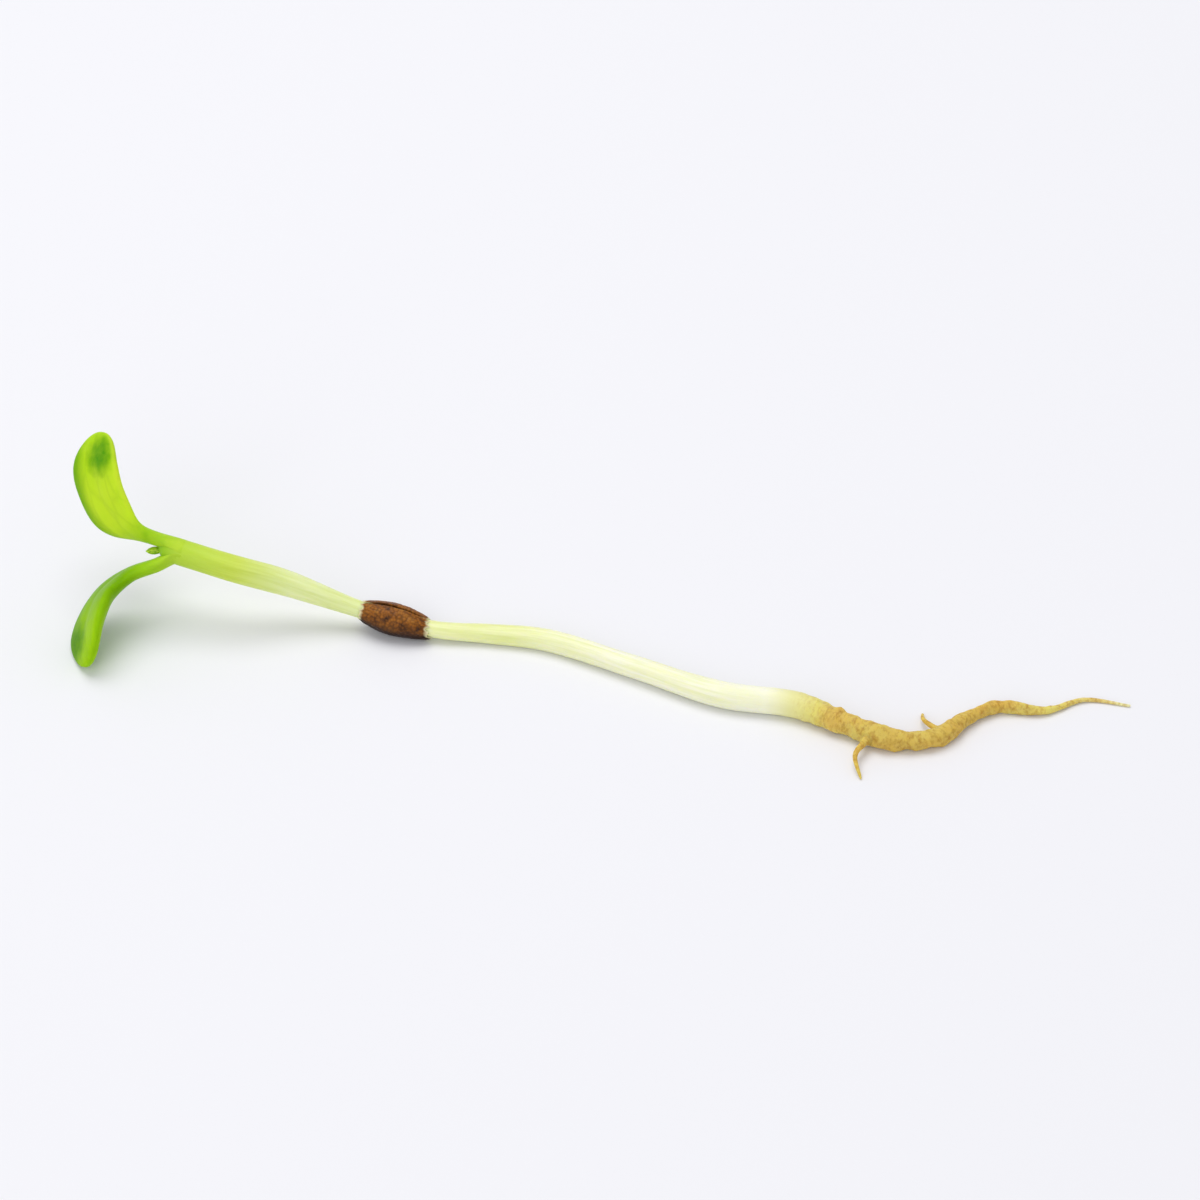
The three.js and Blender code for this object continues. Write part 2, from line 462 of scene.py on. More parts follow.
def stem_material(colours, sizes):
    """Hypocotyl: living tissue under a thin moist skin. Light goes deep into it, so its edges glow and
    its cell files show as faint lengthwise streaks. It greens towards the leaves and yellows towards
    the root."""
    material, tree = new_material("hypocotyl_moist_skin")
    straight, parts = place_on_piece(tree)
    stops = [
        # Darker green where the stem's rounded end fills the crotch: painted shade between the two
        # stalks.
        (-CROTCH_MM, colours.crotch_shade),
        (0.0, colours.fork),
        (2.1, colours.stem_green),
        (4.4, colours.stem_pale),
        (7.8, colours.stem_pale),
        # Dark brown under the husk, seen through its slit: painted shade of the husk over the stem.
        (8.2, colours.stem_husk_shade),
        (9.2, colours.stem_husk_shade),
        (9.5, colours.stem_cream),
        (13.0, colours.stem_cream),
        (17.4, colours.stem_white),
        (23.8, colours.stem_white),
        (STEM_LENGTH_MM, colours.collar),
    ]
    hue = ramp_by_mm(tree, parts["Z"], stops)
    files = add(tree, "Mapping", {"Vector": straight, "Scale": (1, 1, 0.05)})
    inputs = {"Scale": 1 / sizes.cell_file, "Detail": 4.0, "Roughness": 0.6}
    streaks = add(tree, "TexNoise", {"Vector": files, **inputs})
    white = linear("#ffffff")
    tone = add(tree, "ValToRGB", {"Fac": streaks}, stops=[(0.3, colours.stem_streak), (0.62, white)])
    streaked = fading_at_joins(tree, parts["Z"], 0.8, (0.0, 1.8), (STEM_LENGTH_MM, 21.5))
    cells = add(tree, "TexNoise", {"Vector": straight, "Scale": 1 / (0.06 * MM), "Detail": 2.0})
    relief = add(tree, "Math", {0: streaks, 1: cells}, operation="ADD")
    inputs = {"Value": cells, "From Min": 0.3, "From Max": 0.7, "To Min": 0.26, "To Max": 0.44}
    shader = {
        **MOIST_SKIN,
        "Base Color": layered(tree, hue, (streaked, tone), blend="MULTIPLY"),
        "Roughness": add(tree, "MapRange", inputs),
        "Subsurface Weight": fading_at_joins(tree, parts["Z"], 0.6, (0.0, 1.0), (24.7, 23.6)),
        "Normal": add(tree, "Bump", {"Strength": 0.6, "Distance": 0.015 * MM, "Height": relief}),
    }
    return finish_material(material, shader)


def leaf_material(name, colours, sizes, blade, deep, light, rim, shaded_side):
    """Seed leaf: fleshy green tissue under a smooth waxy cuticle. It is darkest along the veins and
    under painted shade in the cup near its tip and on one side, pale on the thin rim with a painted
    highlight there, and turns to the stem's colour on its stalk.

    blade gives colours against the share of the leaf's length, deep is the colour of the veins and of
    the painted shade in the cup and on the shaded side, light that of the mottling and rim that of the
    rim and its painted highlight. shaded_side is the side of the middle line that takes the painted
    shade, 1 or -1 across the leaf.
    """
    material, tree = new_material(name)
    straight, parts = place_on_piece(tree)
    share = add(tree, "MapRange", {"Value": parts["Z"], "From Max": 6.6 * MM})
    stops = [(0.0, colours.foot), (0.03, colours.fork), (0.22, colours.stalk), *blade]
    hue = add(tree, "ValToRGB", {"Fac": share}, stops=stops)
    # Painted shade in the cup near the tip: a ragged round patch of the deep colour.
    edge = add(tree, "TexNoise", {"Vector": straight, "Scale": 1 / (0.35 * MM), "Detail": 4.0})
    inputs = {0: straight, 1: Vector(LEAF_CUP_SHADE_MM) * MM}
    away = add(tree, "VectorMath", inputs, operation="DISTANCE").outputs["Value"]
    ragged = add(tree, "Math", {0: edge, 1: 0.5 * MM, 2: away}, operation="MULTIPLY_ADD")
    inputs = {"From Min": 0.55 * MM, "From Max": 1.2 * MM, "To Min": 0.95, "To Max": 0.0}
    cup_shade = add(tree, "MapRange", {"Value": ragged, **inputs})
    stretched = add(tree, "Mapping", {"Vector": straight, "Scale": (1, 0.4, 0.3)})
    inputs = {"Vector": stretched, "Scale": 1 / sizes.vein_gap, "Randomness": 0.9}
    veins = add(tree, "TexVoronoi", inputs, feature="DISTANCE_TO_EDGE")
    inputs = {"Value": veins, "From Max": 0.16, "To Min": 0.12, "To Max": 0.0}
    veined = add(tree, "MapRange", inputs)
    inputs = {"Scale": 1 / (0.5 * MM), "Detail": 5.0, "Roughness": 0.6}
    mottle = add(tree, "TexNoise", {"Vector": straight, **inputs})
    inputs = {"Value": mottle, "From Min": 0.4, "From Max": 0.75, "To Max": 0.25}
    mottled = add(tree, "MapRange", inputs)
    # Painted shade along one side of the blade, the side turned from the light.
    inputs = {"From Min": shaded_side * 1.05 * MM, "From Max": shaded_side * 0.45 * MM}
    shaded_flank = add(tree, "MapRange", {"Value": parts["X"], **inputs, "To Min": 0.7, "To Max": 0.0})
    # Pale thin rim, with a painted highlight where the rim catches the light.
    thin = add(tree, "Attribute", {}, attribute_name="rim").outputs["Fac"]
    coats = [(cup_shade, deep), (veined, deep), (mottled, light), (shaded_flank, deep), (thin, rim)]
    inputs = {"Vector": straight, "Scale": 1 / (0.07 * MM)}
    cells = add(tree, "TexVoronoi", inputs, feature="SMOOTH_F1")
    relief = add(tree, "Math", {0: cells, 1: veined}, operation="SUBTRACT")
    inputs = {"Value": mottle, "From Min": 0.3, "From Max": 0.7, "To Min": 0.3, "To Max": 0.46}
    shader = {
        "Base Color": layered(tree, hue, *coats),
        "Roughness": add(tree, "MapRange", inputs),
        "IOR": 1.42,
        "Specular IOR Level": 0.05,
        "Subsurface Weight": fading_at_joins(tree, parts["Z"], 0.5, (0.0, 1.0)),
        "Subsurface Radius": (0.9, 1.0, 0.12),
        "Subsurface Scale": 0.24 * MM,
        "Normal": add(tree, "Bump", {"Strength": 0.5, "Distance": 0.02 * MM, "Height": relief}),
    }
    return finish_material(material, shader)


def bud_material(colours):
    """Plumule: a pale young leaf still folded, matt with fine down."""
    material, tree = new_material("plumule_downy_tissue")
    straight = add(tree, "Attribute", {}, attribute_name="straight").outputs["Vector"]
    down = add(tree, "Mapping", {"Vector": straight, "Scale": (1, 1, 0.2)})
    hairs = add(tree, "TexNoise", {"Vector": down, "Scale": 1 / (0.04 * MM), "Detail": 3.0})
    # The lower leaf's shaded green and the upper leaf's pale green, used here as the bud's own colours.
    stops = [(0.35, colours.lower_leaf_shaded_green), (0.7, colours.leaf_pale_and_rim_highlight)]
    shader = {
        "Base Color": add(tree, "ValToRGB", {"Fac": hairs}, stops=stops),
        "Roughness": 0.55,
        "IOR": 1.4,
        "Subsurface Weight": 0.5,
        "Subsurface Radius": (0.6, 1.0, 0.3),
        "Subsurface Scale": 0.2 * MM,
        "Normal": add(tree, "Bump", {"Strength": 0.8, "Distance": 0.015 * MM, "Height": hairs}),
    }
    return finish_material(material, shader)


def husk_material(colours, sizes):
    """Seed coat: a dried brown shell with a fine pebbled surface, faintly glossy on each pebble, with
    painted shade that turns it nearly black in the creases and on its underside, lighter blotches of
    painted highlight, and a paler torn lining."""
    material, tree = new_material("testa_dried_shell")
    straight, parts = place_on_piece(tree)
    lining = add(tree, "Attribute", {}, attribute_name="lining").outputs["Fac"]
    inputs = {"Vector": straight, "Scale": 1 / sizes.pebble, "Randomness": 1.0}
    pebbles = add(tree, "TexVoronoi", inputs, feature="F1")
    inputs = {"Scale": 1 / (0.45 * MM), "Detail": 5.0, "Roughness": 0.65}
    blotch = add(tree, "TexNoise", {"Vector": straight, **inputs})
    # The blotches run from the husk's dark mottling to lighter patches of painted highlight.
    stops = [(0.3, colours.husk_dark_and_shade), (0.5, colours.husk), (0.72, colours.husk_painted_highlight)]
    hue = add(tree, "ValToRGB", {"Fac": blotch}, stops=stops)
    # Painted shade in the creases between the pebbles.
    inputs = {"Value": pebbles, "From Min": 0.35, "From Max": 0.75, "To Max": 0.55}
    crease_shade = add(tree, "MapRange", inputs)
    # Painted shade, darker towards the husk's underside.
    inputs = {"From Min": -0.15 * MM, "From Max": 0.32 * MM, "To Min": 1.0, "To Max": 0.0}
    underside_shade = add(tree, "MapRange", {"Value": parts["Y"], **inputs})
    coats = [(crease_shade, colours.husk_dark_and_shade), (underside_shade, colours.husk_dark_and_shade), (lining, colours.lining)]
    tops = add(tree, "Math", {0: 1.0, 1: pebbles}, operation="SUBTRACT")
    inputs = {"Value": blotch, "From Min": 0.3, "From Max": 0.7, "To Min": 0.32, "To Max": 0.55}
    shader = {
        "Base Color": layered(tree, hue, *coats),
        "Roughness": add(tree, "MapRange", inputs),
        "IOR": 1.5,
        "Specular IOR Level": 0.2,
        "Normal": add(tree, "Bump", {"Strength": 0.9, "Distance": 0.03 * MM, "Height": tops}),
    }
    return finish_material(material, shader)


def root_material(name, colours, sizes):
    """Root: moist tissue without a cuticle, so it is duller and yellower than the stem, with brown
    flecks, warmer zones and fine wrinkles where the skin has shrunk. Its young tail is pale again."""
    material, tree = new_material(name)
    straight, parts = place_on_piece(tree)
    inputs = {"From Min": STEM_LENGTH_MM * MM, "From Max": axis.length * MM}
    share = add(tree, "MapRange", {"Value": parts["Z"], **inputs})
    stops = [
        (0.0, colours.collar),
        (0.08, colours.root_yellow),
        (0.25, colours.root_tan),
        (0.6, colours.root_tan),
        (0.8, colours.root_yellow),
        (1.0, colours.root_tail),
    ]
    hue = add(tree, "ValToRGB", {"Fac": share}, stops=stops)
    squeezed = add(tree, "Mapping", {"Vector": straight, "Scale": (0.6, 0.6, 1)})
    inputs = {"Scale": 1 / sizes.root_fleck, "Detail": 5.0, "Roughness": 0.65}
    flecks = add(tree, "TexNoise", {"Vector": squeezed, **inputs})
    inputs = {"Value": flecks, "From Min": 0.46, "From Max": 0.72, "To Max": 0.85}
    fleck = add(tree, "MapRange", inputs)
    zones = add(tree, "TexNoise", {"Vector": straight, "Scale": 1 / (1.6 * MM), "Detail": 3.0})
    zone = add(tree, "MapRange", {"Value": zones, "From Min": 0.4, "From Max": 0.7, "To Max": 0.7})
    grown = add(tree, "MapRange", {"Value": share, "From Max": 0.14})
    warm, aged, relief = (
        add(tree, "Math", {0: pattern, 1: grown}, operation="MULTIPLY")
        for pattern in (zone, fleck, flecks)
    )
    shader = {
        **MOIST_SKIN,
        "Base Color": layered(tree, hue, (warm, colours.root_orange), (aged, colours.root_fleck)),
        "Roughness": add(tree, "MapRange", {"Value": grown, "To Min": 0.35, "To Max": 0.52}),
        "Subsurface Weight": fading_at_joins(tree, parts["Z"], 0.6, (24.9, 26.0)),
        "Normal": add(tree, "Bump", {"Strength": 0.8, "Distance": 0.04 * MM, "Height": relief}),
    }
    return finish_material(material, shader)


def floor_material(colours):
    """Matt white laminate, even, with the faint grain of its coating."""
    material, tree = new_material("floor_matt_laminate")
    place = add(tree, "TexCoord", {}).outputs["Object"]
    grain = add(tree, "TexNoise", {"Vector": place, "Scale": 1 / (1.2 * MM), "Detail": 3.0})
    gloss = add(tree, "MapRange", {"Value": grain, "To Min": 0.55, "To Max": 0.7})
    shader = {"Base Color": colours.floor, "Roughness": gloss, "Specular IOR Level": 0.2}
    return finish_material(material, shader)


# ---- What a user may change ----


def colour(name, description, hexadecimal):
    """A colour property with its default given as sRGB hex."""
    return FloatVectorProperty(
        name=name,
        description=description,
        subtype="COLOR",
        size=4,
        min=0,
        max=1,
        default=linear(hexadecimal),
    )


def size(name, description, millimetres):
    """A size property with its default given in millimetres."""
    return FloatProperty(
        name=name,
        description=description,
        unit="LENGTH",
        min=0,
        precision=6,
        default=millimetres * MM,
    )


def power(name, description, watts):
    """A lamp's power property."""
    return FloatProperty(name=name, description=description, unit="POWER", default=watts)


class SproutColours(PropertyGroup):
    """The colours of every surface."""

    # Painted shade: the crotch between the stalks is painted darker than the fork.
    crotch_shade: colour("Crotch", "Between the two leaf stalks", "#8fc61a")
    fork: colour("Fork", "Where the leaf stalks leave the stem", "#b9da3e")
    foot: colour("Stalk foot", "Where a leaf stalk comes out of the stem", "#b9da3e")
    stalk: colour("Leaf stalk", "The stalk of a seed leaf", "#9ccc1f")
    stem_green: colour("Stem, green end", "Just past the fork", "#d3e463")
    stem_pale: colour("Stem, pale green", "Between the fork and the husk", "#e9f2b4")
    # Painted shade: the stem under the husk is painted dark brown.
    stem_husk_shade: colour("Stem, stained", "Under the husk, seen through its slit", "#6b4a1c")
    stem_cream: colour("Stem, cream", "Past the husk", "#f2f6c0")
    stem_white: colour("Stem, white", "The old half of the stem", "#fafbe0")
    stem_streak: colour("Stem streaks", "Multiplied into the lengthwise cell files", "#ecefc6")
    collar: colour("Root collar", "Where stem turns to root", "#ebe8a4")
    leaf_bright: colour("Upper leaf", "The blade of the upper seed leaf", "#c6e62c")
    # Painted shade: the lower leaf's blade is painted darker than the upper one because it lies in
    # shade.
    lower_leaf_shaded_green: colour("Lower leaf", "The blade of the lower seed leaf, and the bud", "#76aa04")
    leaf_tip: colour("Upper leaf end", "The last of the upper seed leaf", "#aed81a")
    leaf_end: colour("Lower leaf end", "The last of the lower seed leaf", "#9ccc10")
    # Dark green of the veins, and of the painted shade in the cup near the tip and on one side.
    leaf_veins_and_shade: colour("Upper leaf, deep", "Its patch, its veins and its darker side", "#3f9200")
    leaf_shade: colour("Lower leaf, deep", "Its patch, its veins and its darker side", "#4c8804")
    # Paler mottling and the bud's pale green, and the painted highlight on the upper leaf's thin rim.
    leaf_pale_and_rim_highlight: colour("Upper leaf rim", "Its thin rim and paler patches, and the bud", "#d2e83c")
    husk: colour("Husk", "The seed coat", "#985a14")
    # Dark mottling of the husk, and the painted shade in its creases and on its underside.
    husk_dark_and_shade: colour("Husk creases", "Between the pebbles and along the underside", "#2a1203")
    # Painted highlight, laid as lighter blotches over the husk.
    husk_painted_highlight: colour("Husk highlights", "The worn tops of the pebbles", "#a8702c")
    lining: colour("Husk lining", "The torn inner face of the husk", "#efe6b4")
    root_yellow: colour("Root, young", "Just past the collar and towards the tail", "#e2d878")
    root_tan: colour("Root, old", "The thick part of the root", "#d8c060")
    root_orange: colour("Root, orange", "Warmer zones of the thick root", "#dba948")
    root_tail: colour("Root tail", "The fine tail", "#ece4b0")
    root_fleck: colour("Root flecks", "Brown flecks on the old root", "#a8762c")
    floor: colour("Floor", "The board it lies on", "#f0f0f3")


class SproutSizes(PropertyGroup):
    """The sizes of fine relief and patterns."""

    stem_rib: size("Stem rib", "Height of the stem's lengthwise ribs", 0.006)
    cell_file: size("Cell file", "Width of the stem's lengthwise streaks", 0.14)
    leaf_cup: size("Leaf cup", "How far a leaf's rims rise above its middle", 0.16)
    leaf_groove: size("Leaf groove", "Depth of the groove over the midrib", 0.07)
    vein_gap: size("Vein gap", "Distance between side veins", 0.45)
    husk_wall: size("Husk wall", "Thickness of the husk", 0.09)
    pebble: size("Husk pebble", "Width of the pebbles on the husk", 0.11)
    husk_relief: size("Husk relief", "Height of the pebbles and wrinkles of the husk", 0.025)
    root_wrinkle: size("Root wrinkle", "Height of the root's wrinkles", 0.08)
    root_fleck: size("Root fleck", "Size of the flecks and fine wrinkles on the root", 0.16)


class SproutStage(PropertyGroup):
    """The camera and the lights."""

    elevation: FloatProperty(
        name="Camera elevation",
        description="How far above the horizon the camera looks from",
        subtype="ANGLE",
        default=math.radians(40),
    )
    lens: FloatProperty(
        name="Lens",
        description="Focal length",
        subtype="DISTANCE_CAMERA",
        default=180.0,
    )
    framing: FloatProperty(
        name="Framing",
        description="Width of the view as a multiple of the sprout's length",
        default=1.13,
        min=1.0,
    )
    key_power: power("Key light", "Power of the softbox overhead", 0.48)
    fill_power: power("Fill light", "Power of the front softbox", 0.3)
    sky: FloatProperty(
        name="Ambient",
        description="Brightness of the white surroundings",
        default=0.6,
    )


def look(context):
    """The colours and the sizes that are set."""
    return context.scene.sprout_colours, context.scene.sprout_sizes


# ---- Pieces ----


class SPROUT_OT_stem(Operator):
    """Grow the stem, from the fork of the seed leaves to the root collar"""

    bl_idname = "sprout.stem"
    bl_label = "Stem"

    sides = 24
    rings = 220
    dome_turns = (8, 20, 35, 50, 65, 80)  # its rings in the crotch, in degrees from the dome's top
    unevenness = 0.03  # of its swells and its oval section, as a share of the radius
    swell_length = 2.3
    oval_twist = 0.6  # radians a millimetre
    ribs = 7
    wander, wander_length = 1.5, 4  # of the ribs round the stem, in radians, and along it
    rises = (0, 1.5)  # swells and ribs begin past the fork
    settles = (22.5, 24.6)  # and end before the collar

    def execute(self, context):
        colours, sizes = look(context)
        rib = sizes.stem_rib / MM

        def place(distance, angle):
            radius = smooth_value(STEM_RADII_MM, distance)
            swell = noise.noise(Vector((distance / self.swell_length, 0, 7)))
            oval = math.cos(2 * angle + distance * self.oval_twist)
            wander = self.wander * noise.noise(Vector((distance / self.wander_length, 3, 0)))
            relief = self.unevenness * (swell + oval) * radius
            relief += rib * math.cos(self.ribs * angle + wander)
            relief *= smoothstep(*self.rises, distance) * (1 - smoothstep(*self.settles, distance))
            radius += relief
            if distance < 0:
                radius *= math.sqrt(max(1 - abs(distance / CROTCH_MM) ** 3, 0))
            radius *= 1 - LAP_NARROWING * smoothstep(0, LAP_MM, distance - STEM_LENGTH_MM)
            return on_section(axis.section(distance), angle, radius, distance)

        domed = [-CROTCH_MM * math.cos(math.radians(turn)) for turn in self.dome_turns]
        lapped = [STEM_LENGTH_MM + LAP_MM * share for share in (0.25, 0.5, 0.75, 1)]
        bm = grow(self.sides, domed + steps_between(0, STEM_LENGTH_MM, self.rings) + lapped, place)
        finish_piece(context, bm, "stem", stem_material(colours, sizes))
        return {"FINISHED"}


class SPROUT_OT_seed_leaves(Operator):
    """Grow the two seed leaves, each a fleshy blade on a short stalk that leaves the stem at the fork"""

    bl_idname = "sprout.seed_leaves"
    bl_label = "Seed leaves"

    sides = 28
    rings = 64
    crowding = 1.35  # how much closer the rings stand towards the tip
    last_ring = 0.9995  # a share of the whole route
    # Shares of the leaf's length past the fork.
    turns = (0.05, 0.5)  # from its foot's facing to its blade's
    widens = (0.28, 0.5)  # from stalk to blade
    tip_from = 0.7  # where its rounded tip begins
    groove_ends = (0.7, 0.95)
    # Powers.
    tip_bluntness = 2.3  # 2 is a half circle
    tip_thinning = 0.6  # of the narrowing
    plumpness = 0.25  # how much squarer than an ellipse the blade's section is
    # Millimetres.
    groove_half_width = 0.17
    wave = 0.05  # how far the rims wave
    wave_length = 1.6
    rim_highlight_from = (2.0, 3.2)  # past the fork, where the rim pales and takes its painted highlight
    edge_on_from = 0.93  # the cosine from which a side counts as the rim
    hidden_inset = 0.03  # of the foot in the stem, as a share of its radius
    flat_inset = 0.02  # of the foot's flat side, so that the two feet don't touch
    underside = 0.4  # how much of the groove shows on the leaf's back

    def execute(self, context):
        colours, sizes = look(context)
        bright, end = colours.leaf_bright, colours.leaf_tip
        upper = leaf_material(
            "seed_leaf_waxy_cuticle_bright",
            colours,
            sizes,
            blade=[(0.36, bright), (0.6, bright), (0.8, end)],
            deep=colours.leaf_veins_and_shade,
            light=colours.leaf_pale_and_rim_highlight,
            rim=colours.leaf_pale_and_rim_highlight,
            shaded_side=-1,
        )
        # The lower leaf is a darker copy of the upper one: painted shade, as it lies lower, in shade.
        green, end = colours.lower_leaf_shaded_green, colours.leaf_end
        lower = leaf_material(
            "seed_leaf_waxy_cuticle_shaded",
            colours,
            sizes,
            blade=[(0.34, green), (0.5, green), (0.8, end)],
            deep=colours.leaf_shade,
            light=end,
            rim=green,
            shaded_side=1,
        )
        self.grow_leaf(context, "cotyledon_upper", UPPER_LEAF, 1, upper)
        self.grow_leaf(context, "cotyledon_lower", LOWER_LEAF, -1, lower)
        return {"FINISHED"}

    def route(self, line, side):
        """The leaf's middle line, from inside the stem."""
        backwards = -axis.along(0)
        split = FORK_SPLIT - backwards * FORK_SPLIT.dot(backwards)
        foot = split.normalized() * FORK_OFFSET_MM * side
        sunk = foot - backwards * SUNK_MM
        fork = Vector(AXIS_POINTS[0])
        points = [sunk, foot, foot + backwards * FOOT_LENGTH_MM, *map(Vector, line)]
        return Route([fork + point for point in points])

    def half_round(self, run, angle):
        """The section of the stalk's foot, across and out: half of the stem's, flush with its skin."""
        half = STEM_END_MM * (1 - self.hidden_inset * smoothstep(0, SUNK_MM, -run))
        rise = -self.flat_inset if math.sin(angle) > 0 else math.sin(angle) * half
        return math.cos(angle) * half, FORK_OFFSET_MM + rise

    def own_section(self, share, angle, wave, sizes):
        """The leaf's own section, across and out: cupped, and grooved over its midrib."""
        tip = max(share - self.tip_from, 0) / (1 - self.tip_from)
        narrowing = math.sqrt(max(1 - tip**self.tip_bluntness, 0))
        half_width = smooth_value(LEAF_HALF_WIDTHS_MM, share) * narrowing
        half_thickness = smooth_value(LEAF_HALF_THICKNESSES_MM, share)
        half_thickness *= narrowing**self.tip_thinning
        blade = smoothstep(*self.widens, share)
        wave *= self.wave * blade
        sideways = math.cos(angle) * half_width * (1 + wave)
        fullness = abs(math.sin(angle)) ** (1 - self.plumpness * blade)
        upwards = math.copysign(fullness, math.sin(angle)) * half_thickness
        groove = math.exp(-((sideways / self.groove_half_width) ** 2)) * blade * sizes.leaf_groove / MM
        groove *= 1 - smoothstep(*self.groove_ends, share)
        upwards -= groove if upwards > 0 else self.underside * groove
        outwards = (sideways / LEAF_HALF_WIDTHS_MM[-1][1]) ** 2
        return sideways, upwards + (blade * sizes.leaf_cup / MM + wave) * outwards

    def grow_leaf(self, context, node, leaf, side, material):
        sizes = context.scene.sprout_sizes
        route = self.route(leaf["line"], side)
        length = route.length - SUNK_MM

        def place(distance, angle):
            run = distance - SUNK_MM
            share = run / length
            facing = leaf["foot_faces"].lerp(leaf["blade_faces"], smoothstep(*self.turns, share))
            centre, across, out = route.section(distance, facing)
            wave = noise.noise(Vector((distance / self.wave_length, side * 5, math.cos(angle))))
            foot = Vector(self.half_round(run, angle))
            own = Vector(self.own_section(share, angle, wave, sizes))
            sideways, upwards = foot.lerp(own, smoothstep(0, HALF_ROUND_MM, run))
            return centre + across * sideways + out * upwards, Vector((sideways, upwards, run))

        shares = [1 - (1 - step / self.rings) ** self.crowding for step in range(self.rings)]
        stations = [route.length * share for share in [*shares, self.last_ring]]
        bm = grow(self.sides, stations, place)
        rim = bm.verts.layers.float.new("rim")
        straight = bm.verts.layers.float_vector["straight"]
        around = bm.verts.layers.int["around"]
        # The rim mark: the thin edges of the blade, paler and with a painted highlight, faded in along
        # the blade.
        for vertex in bm.verts:
            edge_on = abs(math.cos(math.tau * vertex[around] / self.sides))
            blade = smoothstep(*self.rim_highlight_from, vertex[straight].z / MM)
            vertex[rim] = leaf["rim_highlight"] * blade * smoothstep(self.edge_on_from, 1, edge_on)
        finish_piece(context, bm, node, material)


class SPROUT_OT_bud(Operator):
    """Grow the first leaf's bud, folded along its length, between the two stalks"""

    bl_idname = "sprout.bud"
    bl_label = "First leaf bud"

    sides = 18
    rings = 36
    fold_at = math.radians(90)  # on top
    fold_width = 0.4  # in radians
    fold_depth = 0.3  # as a share of the radius
    fold_from = (0.4, 0.7)  # shares of the bud's length
    tallness = 1.1  # of its section

    def execute(self, context):
        fork = Vector(AXIS_POINTS[0])
        route = Route([fork, *(fork + Vector(point) for point in BUD_LINE)])

        def place(distance, angle):
            share = distance / route.length
            fold = self.fold_depth * math.exp(-(((angle - self.fold_at) / self.fold_width) ** 2))
            radius = smooth_value(BUD_RADII_MM, share) * (1 - fold * smoothstep(*self.fold_from, share))
            return on_section(route.section(distance), angle, radius, distance, self.tallness)

        bm = grow(self.sides, steps_between(0, route.length, self.rings), place)
        finish_piece(context, bm, "first_leaf_bud", bud_material(context.scene.sprout_colours))
        return {"FINISHED"}


